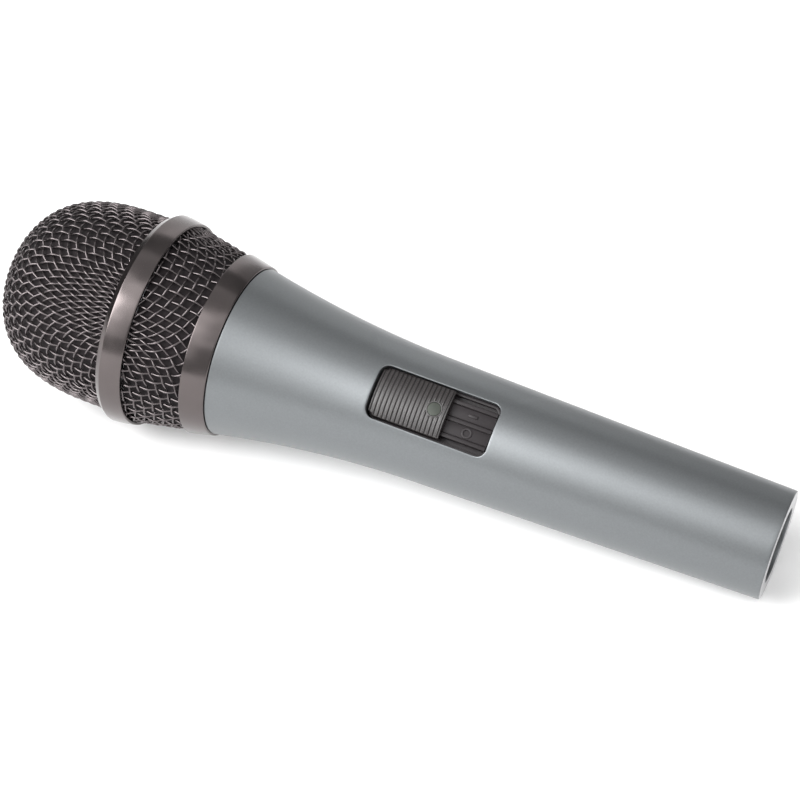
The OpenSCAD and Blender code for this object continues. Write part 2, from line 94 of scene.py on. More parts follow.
def span(node, axis):
    v = local(node)[:, axis]
    return float(v.min()), float(v.max())


def radii(node):
    v = local(node)
    r = np.hypot(v[:, 0], v[:, 1])
    return float(r.min()), float(r.max())


# ---------------------------------------------------------------- sizes, in mm

# Handle: its radius grows by TAPER per mm, and bends outwards from FLARE_Z on
SEAM = span("handle_shell", 2)[1]
TAIL_Z = 0.02
TAIL_R = 11.8
TAPER = 0.0246
FLARE_Z = 77
FLARE_BEND = 243
WALL = 2.6
SOCKET_R = 8.05
SOCKET_DEPTH = 16
RIM_DEPTH = 1.2
INSERT_R = 9
CAVITY_Z = 24
SCREW_Z = SOCKET_DEPTH + 2.8
SCREW_HOLE_R = 1.25
LATCH_Z = (3.2, 6.4)
LATCH_HALF_W = 2
LATCH_DEPTH = 0.9
NECK_SEAT_R = 15.25
NECK_SEAT_Z = SEAM - 8
NECK_TOP = span("threaded_neck", 2)[1]
NECK_BORE_R = 14.3
THREAD_R = 17.2
THREAD_ROOT_R = 16.6
THREAD_LEAD = 1

# Opening for the switch, with the round lip of its edge
FRAME_Z = span("switch_frame", 2)
FRAME_Y = span("switch_frame", 1)[1]
OPENING_Z = (FRAME_Z[0] - 0.2, FRAME_Z[1] + 0.2)
OPENING_Y = FRAME_Y + 0.15
OPENING_CORNER = 2
LIP = 0.3
BRIDGE_X = (4.5, 8.3)
BRIDGE_Z = (OPENING_Z[1] - 5.7, OPENING_Z[1] - 0.2)

# Grille: the collar carries the rear band, the front ring carries the dome
RING_Z = span("front_ring", 2)
RING_R = radii("front_ring")[1]
COLLAR_Z0 = span("threaded_collar", 2)[0]
COLLAR_TOP = COLLAR_Z0 + 5.2
COLLAR_R = 19.4
COLLAR_TOP_R = 20.6
BAND_LOW_R = 20.1
BAND_TOP_R = 22.6
BAND_SLOPE = (BAND_TOP_R - BAND_LOW_R) / (RING_Z[0] - COLLAR_TOP)
RING_REAR_R = RING_R - 0.7
RING_EDGE_Z = RING_Z[0] + 4.6
DOME_R = 22.25
DOME_TIP = span("front_mesh", 2)[1]
DOME_SHOULDER = 5.1
DOME_POWER = 2.65
FOAM_T = 3

# Woven wire: a net of square cells; degrees that the rear net is turned, and the angle between
# crossing wires at which they lock
PITCH = 2.12
WIRE_R = 0.22
WAVE = 0.27
MESH_T = 2 * (WIRE_R + WAVE)
WIRE_STEPS = 6
WIRE_SIDES = 8
REAR_TURN = -14
LOCK_ANGLE = 38

# Switch: heights are x, from the microphone's axis
SLIDER_Z = span("switch_slider", 2)
SLIDER_Y = span("switch_slider", 1)
RAIL_HALF_W = 4.2
RAIL_W = 0.9
RAIL_X = 11
RIM_X = 10.2
BED_X = 8.3
PLATE_X = 9.0
NECK_X = 8.9
RAIL_FOOT_X = 10.3
MARK_FOOT_X = 10.7
PAD_X = 10.8
MARK_X = 11.05
MARK_Y = RAIL_HALF_W / 2 - RAIL_W / 4
MARKS_Z = (OPENING_Z[0] + 5.4, OPENING_Z[1] - 7.2)
PEGS_Z = (OPENING_Z[0] + 2.6, OPENING_Z[0] + 18.8)
CAP_X = 11.35
RIB_TOP_R = 13.4
RIB_H = 0.35
CAP_R = RIB_TOP_R - RIB_H
RIB_W = 0.5
RIBS = 17
SLIDER_EDGE = 0.12
SKIRT_X = 9.4
PLUG_R = 1.47
PLUG_CLEARING_R = 1.8
MAGNET_Y, MAGNET_Z = (sum(span("slider_magnet", axis)) / 2 for axis in (1, 2))


def handle_r(z):
    flare = (z - FLARE_Z) ** 2 / (2 * FLARE_BEND) if z > FLARE_Z else 0
    return TAIL_R + TAPER * z + flare


def dome_outline(inset, steps):
    """Points (r, z) of the front basket, from the rim of its curved part to its tip."""
    out = []
    height = DOME_TIP - RING_Z[1] - DOME_SHOULDER
    for i in range(steps + 1):
        a = math.pi / 2 * i / steps
        e = 2 / DOME_POWER
        out.append((
            (DOME_R - inset) * max(math.cos(a), 0) ** e,
            RING_Z[1] + DOME_SHOULDER + (height - inset) * math.sin(a) ** e,
        ))
    return out


# ---------------------------------------------------------------- materials


def noise_value(tree, coords, scale, detail):
    field = tree.nodes.new("ShaderNodeTexNoise")
    field.inputs["Scale"].default_value = scale
    field.inputs["Detail"].default_value = detail
    tree.links.new(coords.outputs["Object"], field.inputs["Vector"])
    return field.outputs["Fac"]


def spread(tree, value, low, high):
    """Spreads the middle of a noise value over low to high."""
    ramp = tree.nodes.new("ShaderNodeMapRange")
    ramp.inputs["From Min"].default_value = 0.3
    ramp.inputs["From Max"].default_value = 0.7
    ramp.inputs["To Min"].default_value = low
    ramp.inputs["To Max"].default_value = high
    tree.links.new(value, ramp.inputs["Value"])
    return ramp.outputs["Result"]


def material(name, color, metallic=0.0, roughness=0.5, coat=0.0, grain=0.0, grain_scale=900,
             mottle=0.0, mottle_scale=60, sheen=0.0, transmission=0.0, smear=0.0, specular=0.5):
    """A node material: base colour with a fine mottle, and roughness and bump from noise."""
    m = bpy.data.materials.new(name)
    m.use_nodes = True
    tree = m.node_tree
    bsdf = tree.nodes["Principled BSDF"]
    for socket, value in (("Metallic", metallic), ("Coat Weight", coat), ("Coat Roughness", 0.1),
                          ("Sheen Weight", sheen), ("Transmission Weight", transmission),
                          ("Specular IOR Level", specular)):
        bsdf.inputs[socket].default_value = value
    coords = tree.nodes.new("ShaderNodeTexCoord")
    tone = noise_value(tree, coords, mottle_scale, 3)
    mix = tree.nodes.new("ShaderNodeVectorMath")
    mix.operation = "SCALE"
    mix.inputs[0].default_value = color
    tree.links.new(spread(tree, tone, 1 - mottle, 1 + mottle), mix.inputs["Scale"])
    tree.links.new(mix.outputs["Vector"], bsdf.inputs["Base Color"])
    rough = spread(tree, tone, max(roughness - smear, 0.02), roughness + smear)
    tree.links.new(rough, bsdf.inputs["Roughness"])
    if grain:
        bump = tree.nodes.new("ShaderNodeBump")
        bump.inputs["Strength"].default_value = grain
        bump.inputs["Distance"].default_value = 0.0001
        tree.links.new(noise_value(tree, coords, grain_scale, 2), bump.inputs["Height"])
        tree.links.new(bump.outputs["Normal"], bsdf.inputs["Normal"])
    return m


PAINT = material("handle_paint", (0.174, 0.184, 0.19), metallic=0.8, roughness=0.39,
                 mottle=0.05, mottle_scale=2500, grain=0.12, grain_scale=3000, smear=0.02)
RIM = material("bare_rim", (0.52, 0.52, 0.53), metallic=0.8, roughness=0.35, mottle=0.03,
               smear=0.03)
PLATING = material("ring_plating", (0.117, 0.102, 0.101), metallic=1, roughness=0.2, mottle=0.02,
                   mottle_scale=300, smear=0.02)
WIRE = material("grille_wire", (0.121, 0.106, 0.108), metallic=0.9, roughness=0.26, mottle=0.08,
                mottle_scale=500, smear=0.04)
FOAM = material("grille_foam", (0.009, 0.006, 0.007), roughness=0.95, mottle=0.4,
                mottle_scale=900, grain=0.6, grain_scale=1500)
FRAME_PLASTIC = material("black_plastic", (0.019, 0.0155, 0.017), roughness=0.38, mottle=0.06,
                         mottle_scale=400, grain=0.25, grain_scale=1800, smear=0.04,
                         specular=0.25)
SLIDER_PLASTIC = material("slider_plastic", (0.023, 0.0195, 0.0195), roughness=0.34, mottle=0.08,
                          mottle_scale=500, grain=0.2, grain_scale=2000, smear=0.05, specular=0.7)
RUBBER = material("black_rubber", (0.02, 0.02, 0.021), roughness=0.75, mottle=0.1,
                  mottle_scale=300, grain=0.2, grain_scale=1200)
ALLOY = material("neck_alloy", (0.55, 0.55, 0.56), metallic=1, roughness=0.3, mottle=0.05,
                 mottle_scale=400, smear=0.05)
STEEL = material("bare_steel", (0.5, 0.5, 0.52), metallic=1, roughness=0.25, mottle=0.05,
                 mottle_scale=400, smear=0.04)
MAGNET = material("magnet_plating", (0.03, 0.034, 0.028), metallic=0.6, roughness=0.35,
                  mottle=0.08, mottle_scale=600, smear=0.06)
BRASS = material("brass_parts", (0.72, 0.53, 0.25), metallic=1, roughness=0.28, mottle=0.05,
                 mottle_scale=400, smear=0.04)
FILM = material("film", (0.78, 0.68, 0.42), roughness=0.25, coat=0.4, mottle=0.04)
COPPER = material("copper_wire", (0.62, 0.25, 0.12), metallic=1, roughness=0.32, mottle=0.06,
                  mottle_scale=800)
FELT = material("felt", (0.5, 0.47, 0.42), roughness=0.95, mottle=0.15, mottle_scale=900,
                grain=0.5, grain_scale=2500, sheen=0.3)
BOARD = material("circuit_board", (0.035, 0.12, 0.05), roughness=0.35, coat=0.5, mottle=0.08)
TIN = material("tinned_contacts", (0.62, 0.62, 0.6), metallic=1, roughness=0.24, mottle=0.05)
GLASS = material("reed_glass", (0.55, 0.75, 0.66), roughness=0.08, transmission=0.8, coat=0.3,
                 mottle=0.02)
RED = material("red_insulation", (0.42, 0.03, 0.02), roughness=0.4, mottle=0.05)
WHITE = material("white_insulation", (0.7, 0.7, 0.66), roughness=0.4, mottle=0.04)
BLACK = material("black_insulation", (0.02, 0.02, 0.02), roughness=0.4, mottle=0.05)

FINISHES = (
    (PAINT, "handle_shell"),
    (PLATING, "threaded_collar front_ring"),
    (WIRE, "rear_mesh front_mesh"),
    (FOAM, "rear_foam front_foam"),
    (FRAME_PLASTIC, "capsule_housing capsule_cap switch_frame connector_insert"),
    (SLIDER_PLASTIC, "switch_slider"),
    (MAGNET, "slider_magnet"),
    (ALLOY, "threaded_neck"),
    (STEEL, "pole_plate magnet yoke frame_screw insert_screw mesh_hoop"),
    (RUBBER, "shock_mount neck_washer"),
    (BRASS, "diaphragm_clamp ground_tag"),
    (FILM, "diaphragm_surround diaphragm_dome"),
    (COPPER, "voice_coil"),
    (FELT, "chamber_felt vent_felt"),
    (BOARD, "terminal_board switch_board"),
    (TIN, "capsule_terminals reed_leads contact_pin_1 contact_pin_2 contact_pin_3"),
    (GLASS, "reed_switch"),
    (RED, "capsule_lead_hot connector_lead_hot"),
    (WHITE, "capsule_lead_cold connector_lead_cold"),
    (BLACK, "connector_lead_ground"),
)
for finish, names in FINISHES:
    for name in names.split():
        mesh = nodes[name].data
        mesh.materials.clear()
        mesh.materials.append(finish)

# ---------------------------------------------------------------- building pieces


def add_object(name, data):
    o = bpy.data.objects.new(name, data)
    bpy.context.scene.collection.objects.link(o)
    return o


def placed_mesh(name, verts, faces):
    """A mesh from points in the microphone's own frame, its faces turned outwards."""
    mesh = bpy.data.meshes.new(name)
    m = np.array(MIC)
    placed = np.array(verts, float).reshape(-1, 3) @ m[:3, :3].T + m[:3, 3]
    mesh.from_pydata(placed.tolist(), [], faces)
    mesh.validate()
    bm = bmesh.new()
    bm.from_mesh(mesh)
    bmesh.ops.recalc_face_normals(bm, faces=bm.faces)
    bm.to_mesh(mesh)
    bm.free()
    return mesh


def piece(name, body, verts, faces, finish, stands_for, sharp=None, second=None,
          second_faces=()):
    """A new visual piece that rides on a body, with a second material on some of its faces."""
    mesh = placed_mesh(name, verts, faces)
    mesh.materials.append(finish)
    if second is not None:
        mesh.materials.append(second)
        for i in second_faces:
            mesh.polygons[i].material_index = 1
    mesh.polygons.foreach_set("use_smooth", [True] * len(mesh.polygons))
    if sharp is not None:
        mesh.set_sharp_from_angle(angle=math.radians(sharp))
    o = add_object(name, mesh)
    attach(o, body)
    if stands_for:
        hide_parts(*stands_for)
    return o


def circle(r, z, count):
    return [(r * math.cos(a), r * math.sin(a), z) for a in
            (2 * math.pi * k / count for k in range(count))]


def bend(a, corner, b, f):
    """A point of the curve from a to b that leans towards the corner."""
    return a * (1 - f) ** 2 + corner * 2 * f * (1 - f) + b * f * f


def rounded(points, radius, steps=4):
    """A closed outline of (r, z) points with its corners rounded. radius may be one per corner."""
    out = []
    n = len(points)
    for k in range(n):
        p0, p1, p2 = (np.array(points[(k + d) % n], float) for d in (-1, 0, 1))
        rad = radius[k] if isinstance(radius, (list, tuple)) else radius
        u, v = p0 - p1, p2 - p1
        lu, lv = np.linalg.norm(u), np.linalg.norm(v)
        u, v = u / lu, v / lv
        turn = math.acos(max(-1, min(1, float(u @ v))))
        if rad <= 0 or turn > math.radians(172):
            out.append(tuple(p1))
            continue
        t = min(rad / math.tan(turn / 2), 0.45 * lu, 0.45 * lv)
        a, b = p1 + u * t, p1 + v * t
        out.extend(tuple(bend(a, p1, b, q / steps)) for q in range(steps + 1))
    return out


def turned_faces(segments, n):
    """Faces between closed strips of n points each, one strip per segment round the axis."""
    faces = []
    for i in range(segments):
        j = (i + 1) % segments
        for k in range(n):
            m = (k + 1) % n
            faces.append((i * n + k, j * n + k, j * n + m, i * n + m))
    return faces


def revolve(outline, segments):
    """Points and faces of a closed outline of (r, z) points turned round the z axis."""
    verts = []
    for i in range(segments):
        a = 2 * math.pi * i / segments
        verts.extend((r * math.cos(a), r * math.sin(a), z) for r, z in outline)
    return verts, turned_faces(segments, len(outline))


def add_turned(verts, faces, outline, y, z, segments):
    """Adds a closed outline of (r, x) points turned round a line along x."""
    raw_verts, raw_faces = revolve(outline, segments)
    base = len(verts)
    verts.extend((c, y + a, z + b) for a, b, c in raw_verts)
    faces.extend(tuple(base + q for q in f) for f in raw_faces)


def lathed(name, outline, finish, node, segments=192):
    """A turned piece of the grille."""
    verts, faces = revolve(outline, segments)
    piece(name, "grille", verts, faces, finish, [node], sharp=35)


def add_box(verts, faces, low, high, bevel, steps=2):
    """Adds a block with rounded edges."""
    bm = bmesh.new()
    bmesh.ops.create_cube(bm, size=1)
    low, high = Vector(low), Vector(high)
    for v in bm.verts:
        v.co = Vector((low[i] + (v.co[i] + 0.5) * (high[i] - low[i]) for i in range(3)))
    bmesh.ops.bevel(bm, geom=bm.edges[:], offset=bevel, segments=steps, affect="EDGES",
                    profile=0.5)
    base = len(verts)
    bm.verts.index_update()
    verts.extend(tuple(v.co) for v in bm.verts)
    faces.extend(tuple(base + v.index for v in f.verts) for f in bm.faces)
    bm.free()


def slot_outline(half_w, z_low, z_high, corners_r, steps=6):
    """(y, z) points round a slot with rounded corners: radius per corner, from low z at +y."""
    out = []
    spots = [(half_w, z_low, -90), (half_w, z_high, 0), (-half_w, z_high, 90),
             (-half_w, z_low, 180)]
    for (y, z, start), r in zip(spots, corners_r):
        cy = y - math.copysign(r, y)
        cz = z + r if z == z_low else z - r
        for q in range(steps + 1):
            a = math.radians(start + 90 * q / steps)
            out.append((cy + r * math.cos(a), cz + r * math.sin(a)))
    return out


def add_loft(verts, faces, loops, cap=True):
    """Adds a skin through loops of 3-D points that all have the same count."""
    base = len(verts)
    n = len(loops[0])
    for loop in loops:
        verts.extend(loop)
    last = base + (len(loops) - 1) * n
    for start in range(base, last, n):
        for k in range(n):
            m = (k + 1) % n
            faces.append((start + k, start + m, start + n + m, start + n + k))
    if cap:
        faces.append(tuple(base + k for k in range(n)))
        faces.append(tuple(last + k for k in range(n)))


def shrunk(outline, by):
    """The (y, z) outline moved inwards."""
    pts = np.array(outline, float)
    ahead, behind = np.roll(pts, -1, 0), np.roll(pts, 1, 0)
    t = ahead - behind
    t /= np.linalg.norm(t, axis=1)[:, None]
    normal = np.stack([t[:, 1], -t[:, 0]], 1)
    return [tuple(p) for p in pts - normal * by]


def join(faces, u, v):
    """Adds faces between two closed rings of point numbers."""
    for k in range(len(u)):
        m = (k + 1) % len(u)
        faces.append((u[k], u[m], v[m], v[k]))


def at_x(outline, x):
    return [(x, y, z) for y, z in outline]


# ---------------------------------------------------------------- handle

# Each skin is a grid with GRID points round the axis. Round the switch a patch of the grid, which
# reaches PATCH_HALF points to each side, is left out and filled up to the opening.
GRID = 144
PATCH_HALF = 22
PATCH_Z = (OPENING_Z[0] - 5, OPENING_Z[1] + 5)
PATCH_STEPS = (0.72, 0.48, 0.3, 0.18, 0.09)
LIP_STEPS = 6


def inner_r(z):
    return handle_r(z) - WALL


def handle_levels():
    """Heights of the handle's rings of points, with PATCH_Z among them."""
    low = np.linspace(CAVITY_Z, PATCH_Z[0], 30)
    mid = np.linspace(PATCH_Z[0], PATCH_Z[1], 45)
    high = np.linspace(PATCH_Z[1], NECK_SEAT_Z, 22)
    return list(low[:-1]) + list(mid[:-1]) + list(high)


LEVELS = handle_levels()
PATCH_FIRST = next(i for i, z in enumerate(LEVELS) if abs(z - PATCH_Z[0]) < 1e-6)
PATCH_LAST = next(i for i, z in enumerate(LEVELS) if abs(z - PATCH_Z[1]) < 1e-6)


def nearest_on_slot(y, z):
    """The point of the opening's outline nearest to a point outside it, and the way outwards."""
    half = OPENING_Y - OPENING_CORNER
    z0, z1 = OPENING_Z[0] + OPENING_CORNER, OPENING_Z[1] - OPENING_CORNER
    cy, cz = max(-half, min(half, y)), max(z0, min(z1, z))
    d = np.array([y - cy, z - cz])
    d /= np.linalg.norm(d)
    return np.array([cy, cz]) + d * OPENING_CORNER, d


def add_skin(verts, faces, radius):
    """One skin of the handle between the cavity's ends, with a hole for the patch."""
    ids = {}
    for i, z in enumerate(LEVELS):
        for k in range(GRID):
            turn = k if k <= GRID // 2 else k - GRID
            if PATCH_FIRST < i < PATCH_LAST and abs(turn) < PATCH_HALF:
                continue
            a = 2 * math.pi * k / GRID
            ids[i, k] = len(verts)
            verts.append((radius(z) * math.cos(a), radius(z) * math.sin(a), z))
    for i in range(len(LEVELS) - 1):
        for k in range(GRID):
            turn = k if k < GRID // 2 else k - GRID
            if PATCH_FIRST <= i < PATCH_LAST and -PATCH_HALF <= turn < PATCH_HALF:
                continue
            j = (k + 1) % GRID
            faces.append((ids[i, k], ids[i, j], ids[i + 1, j], ids[i + 1, k]))
    return ids


def patch_border():
    """Grid places round the patch, in order."""
    up = [(i, PATCH_HALF) for i in range(PATCH_FIRST, PATCH_LAST)]
    over = [(PATCH_LAST, k) for k in range(PATCH_HALF, -PATCH_HALF, -1)]
    down = [(i, -PATCH_HALF) for i in range(PATCH_LAST, PATCH_FIRST, -1)]
    back = [(PATCH_FIRST, k) for k in range(-PATCH_HALF, PATCH_HALF)]
    return [(i, k % GRID) for i, k in up + over + down + back]


def on_skin(radius, y, z):
    return np.array([math.sqrt(radius(z) ** 2 - y * y), y, z])


def fill_patch(verts, faces, ids, radius, lip):
    """Fills the patch up to the opening, whose edge it rounds by lip; returns that edge."""
    border = [ids[place] for place in patch_border()]
    rows = [(np.array(verts[n][1:]), *nearest_on_slot(*verts[n][1:])) for n in border]
    curves = []
    for f in PATCH_STEPS if lip else PATCH_STEPS + (0,):
        curves.append([on_skin(radius, *((foot + out * lip) * (1 - f) + far * f))
                       for far, foot, out in rows])
    for q in range(LIP_STEPS + 1 if lip else 0):
        loop = []
        for _, foot, out in rows:
            edge = on_skin(radius, *foot)
            start = on_skin(radius, *(foot + out * lip))
            loop.append(bend(start, edge, edge - np.array([lip, 0, 0]), q / LIP_STEPS))
        curves.append(loop)
    for loop in curves:
        ring = list(range(len(verts), len(verts) + len(loop)))
        verts.extend(tuple(at) for at in loop)
        join(faces, border, ring)
        border = ring
    return border


def add_rings(verts, faces, outline, first, last):
    """Joins two rings of the grid by an outline of (r, z) points between them."""
    for r, z in outline:
        ring = list(range(len(verts), len(verts) + GRID))
        verts.extend(circle(r, z, GRID))
        join(faces, first, ring)
        first = ring
    join(faces, first, last)


def add_bridge(verts, faces):
    """The bridge across the cavity that takes the screw of the switch frame."""
    reach = inner_r(BRIDGE_Z[0]) + 0.4
    base = len(verts)
    verts.extend((x, side * math.sqrt(reach ** 2 - x * x), z)
                 for z in BRIDGE_Z for x in BRIDGE_X for side in (-1, 1))
    for quad in ((0, 1, 3, 2), (4, 5, 7, 6), (0, 1, 5, 4), (2, 3, 7, 6), (0, 2, 6, 4),
                 (1, 3, 7, 5)):
        faces.append(tuple(base + q for q in quad))


def build_handle():
    verts, faces = [], []
    outer = add_skin(verts, faces, handle_r)
    inner = add_skin(verts, faces, inner_r)
    edge_out = fill_patch(verts, faces, outer, handle_r, LIP)
    edge_in = fill_patch(verts, faces, inner, inner_r, 0)
    join(faces, edge_out, edge_in)
    # tail: outside wall, rounded rim, socket, shoulder and wall of the insert's seat
    outside = [(handle_r(z), z) for z in np.linspace(CAVITY_Z, RIM_DEPTH, 16)[1:]]
    rim = rounded([(handle_r(RIM_DEPTH), RIM_DEPTH), (TAIL_R, TAIL_Z), (SOCKET_R, TAIL_Z),
                   (SOCKET_R, RIM_DEPTH)], [0, 0.42, 0.34, 0], 5)[1:-1]
    bore = [(SOCKET_R, z) for z in (RIM_DEPTH, 3, 8, SOCKET_DEPTH)]
    seat = [(INSERT_R, SOCKET_DEPTH), (INSERT_R, CAVITY_Z)]
    bare_from = len(faces) + (len(outside) + len(rim) // 2 - 2) * GRID
    bare_rim = range(bare_from, bare_from + 5 * GRID)
    add_rings(verts, faces, outside + rim + bore + seat, [outer[0, k] for k in range(GRID)],
              [inner[0, k] for k in range(GRID)])
    # grille end: the flare's last part, a fine round edge at the seam, the neck's seat
    top = len(LEVELS) - 1
    near = SEAM - 0.5
    flare = [(handle_r(z), z) for z in np.linspace(NECK_SEAT_Z, near, 10)[1:]]
    edge = rounded([(handle_r(near), near), (handle_r(SEAM), SEAM), (NECK_SEAT_R, SEAM),
                    (NECK_SEAT_R, near)], [0, 0.12, 0.1, 0], 4)[1:-1]
    seat = [(NECK_SEAT_R, near), (NECK_SEAT_R, NECK_SEAT_Z)]
    add_rings(verts, faces, flare + edge + seat, [outer[top, k] for k in range(GRID)],
              [inner[top, k] for k in range(GRID)])
    add_bridge(verts, faces)
    skin = piece("handle_skin", "handle", verts, faces, PAINT, ["handle_shell"],
                 second=RIM, second_faces=bare_rim)
    cut(skin, *connector_cutters())
    skin.data.set_sharp_from_angle(angle=math.radians(40))


def connector_cutters():
    """Solids of the screw's hole through the tail and of the pocket for the plug's latch."""
    verts, faces = [], []
    r = SCREW_HOLE_R
    hole = slot_outline(r, SCREW_Z - r, SCREW_Z + r, [r] * 4, 10)
    add_loft(verts, faces, [at_x(hole, 1 - INSERT_R), at_x(hole, -TAIL_R - 2)])
    add_box(verts, faces, (SOCKET_R - 1, -LATCH_HALF_W, LATCH_Z[0]),
            (SOCKET_R + LATCH_DEPTH, LATCH_HALF_W, LATCH_Z[1]), 0.15)
    turn = Matrix.Rotation(UPWARDS, 3, "Z")
    return [tuple(turn @ Vector(v)) for v in verts], faces


def cut(target, verts, faces):
    """Takes solids, given in the microphone's own frame, out of a piece."""
    mesh = placed_mesh("cutters", verts, faces)
    tool = add_object("cutters", mesh)
    step = target.modifiers.new("cut", "BOOLEAN")
    step.operation = "DIFFERENCE"
    step.solver = "EXACT"
    step.object = tool
    bpy.context.view_layer.update()
    graph = bpy.context.evaluated_depsgraph_get()
    shaped = bpy.data.meshes.new_from_object(target.evaluated_get(graph))
    target.modifiers.clear()
    plain = target.data
    target.data = shaped
    bpy.data.meshes.remove(plain)
    bpy.data.objects.remove(tool)
    bpy.data.meshes.remove(mesh)


build_handle()

# ---------------------------------------------------------------- collar, front ring, hoop


def build_collar():
    foot, groove, washer_top = COLLAR_Z0 - 0.1, COLLAR_TOP - 1.1, SEAM + 0.8
    lip_top, lip_r = COLLAR_TOP - 0.4, 19.1
    band_r, bore_r, washer_r = BAND_LOW_R + 0.05, THREAD_R + 0.05, THREAD_R + 1.3
    outline = rounded([
        (washer_r, foot), (COLLAR_R, foot), (COLLAR_TOP_R, COLLAR_TOP), (band_r, COLLAR_TOP),
        (band_r, groove), (lip_r, groove), (lip_r, lip_top), (lip_r - 1.2, lip_top),
        (bore_r, lip_top - 0.8), (bore_r, washer_top), (washer_r, washer_top)
    ], [0.1, 0.34, 0.32, 0.1, 0.05, 0.05, 0.15, 0.15, 0.1, 0.1, 0.1], 5)
    lathed("collar_ring", outline, PLATING, "threaded_collar")


def build_front_ring():
    rise = RING_EDGE_Z - RING_Z[0]
    swell = 0.36
    bulge = []
    for i in range(15):
        t = i / 14
        r = RING_REAR_R + (RING_R - RING_REAR_R) * t + swell * t * (1 - t)
        bulge.append((r, RING_Z[0] + rise * t))
    flange = RING_Z[0] + 1.15
    outline = bulge + [
        (RING_R - 0.85, RING_Z[1]), (DOME_R + 0.05, RING_Z[1]), (DOME_R + 0.05, flange + 1.5),
        (DOME_R - 1.7, flange + 1.5), (DOME_R - 1.7, flange), (BAND_TOP_R + 0.05, flange),
        (BAND_TOP_R + 0.05, RING_Z[0])
    ]
    soft = [0.28] + [0] * 13 + [0.34, 0.22, 0.12, 0.05, 0.1, 0.1, 0.05, 0.1]
    lathed("front_ring_skin", rounded(outline, soft, 5), PLATING, "front_ring")


def build_hoop():
    outer = DOME_R - MESH_T - 0.75
    inner = outer - 0.8
    low, high = RING_Z[0] + 0.6, RING_Z[0] + 4.6
    outline = rounded([(inner, low), (outer, low), (outer, high), (inner, high)], 0.2)
    lathed("hoop", outline, STEEL, "mesh_hoop", 96)


build_collar()
build_front_ring()
build_hoop()

# ---------------------------------------------------------------- woven wire


class Profile:
    """Half outline (r, z) of a surface of revolution, from its pole outwards, by its length s."""

    def __init__(self, points):
        pts = np.array(points, float)
        step = np.hypot(*np.diff(pts, axis=0).T)
        pts = pts[np.concatenate([[True], step > 1e-9])]
        step = np.hypot(*np.diff(pts, axis=0).T)
        run = np.concatenate([[0], np.cumsum(step)])
        self.s = np.linspace(0, run[-1], 1500)
        self.r = np.interp(self.s, run, pts[:, 0])
        self.z = np.interp(self.s, run, pts[:, 1])
        self.dr = np.gradient(self.r, self.s)
        self.dz = np.gradient(self.z, self.s)

    def at(self, s):
        return [float(np.interp(s, self.s, a)) for a in (self.r, self.z, self.dr, self.dz)]

    def place(self, s, a):
        """The point at a length and an angle, and its outward normal."""
        r, z, dr, dz = self.at(s)
        n = np.array([-dz * math.cos(a), -dz * math.sin(a), dr])
        return np.array([r * math.cos(a), r * math.sin(a), z]), n / np.linalg.norm(n)

    def point(self, s, a):
        return self.place(s, a)[0]


def fourth_corner(profile, pa, pb, s, a, cell):
    """The place on the surface one cell away from both pa and pb, near (s, a)."""
    for _ in range(40):
        r, z, dr, dz = profile.at(s)
        c, q = math.cos(a), math.sin(a)
        p = np.array([r * c, r * q, z])
        along, round_ = np.array([dr * c, dr * q, dz]), np.array([-r * q, r * c, 0])
        da, db = p - pa, p - pb
        miss = np.array([da @ da - cell ** 2, db @ db - cell ** 2])
        slope = 2 * np.array([[da @ along, da @ round_], [db @ along, db @ round_]])
        if abs(np.linalg.det(slope)) < 1e-9:
            return None
        step = np.linalg.solve(slope, -miss)
        step /= max(abs(step[0]) / (0.4 * cell), abs(step[1]) * max(r, 1) / (0.4 * cell), 1)
        s, a = s + step[0], a + step[1]
        if np.abs(step).max() < 1e-10:
            return s, a
    return None


def draped_net(profile, cell):
    """Places (s, angle) of a square net pressed over the surface, cell sides kept: one quarter."""
    line = [0.0]
    while True:
        low, high = line[-1], line[-1] + 1.6 * cell
        start = profile.point(line[-1], 0)
        for _ in range(50):
            m = (low + high) / 2
            if np.linalg.norm(profile.point(m, 0) - start) < cell:
                low = m
            else:
                high = m
        if low > profile.s[-1] - 1e-3:
            break
        line.append(low)
    count = len(line) - 1
    net = {(i, 0): (s, 0.0) for i, s in enumerate(line)}
    net.update({(0, i): (s, math.pi / 2) for i, s in enumerate(line)})
    for total in range(2, 2 * count + 1):
        for i in range(1, total):
            j = total - i
            known = [net.get(k) for k in ((i - 1, j), (i, j - 1), (i - 1, j - 1))]
            if i > count or j > count or None in known:
                continue
            pa, pb, pc = (profile.point(*k) for k in known)
            guess = pa + pb - pc
            s = known[0][0] + known[1][0] - known[2][0] if total > 2 else 1.414 * cell
            got = fourth_corner(profile, pa, pb, min(s, profile.s[-1]),
                                math.atan2(guess[1], guess[0]), cell)
            if got and got[0] < profile.s[-1] - 1e-6 and 0 < got[1] < math.pi / 2:
                net[i, j] = got
    return net


def full_net(quarter):
    """All four quarters of the net."""
    out = {}
    for (i, j), (s, a) in quarter.items():
        for si, sj, turn in ((1, 1, a), (-1, 1, math.pi - a), (-1, -1, math.pi + a), (1, -1, -a)):
            out[si * i, sj * j] = (s, turn)
    return out


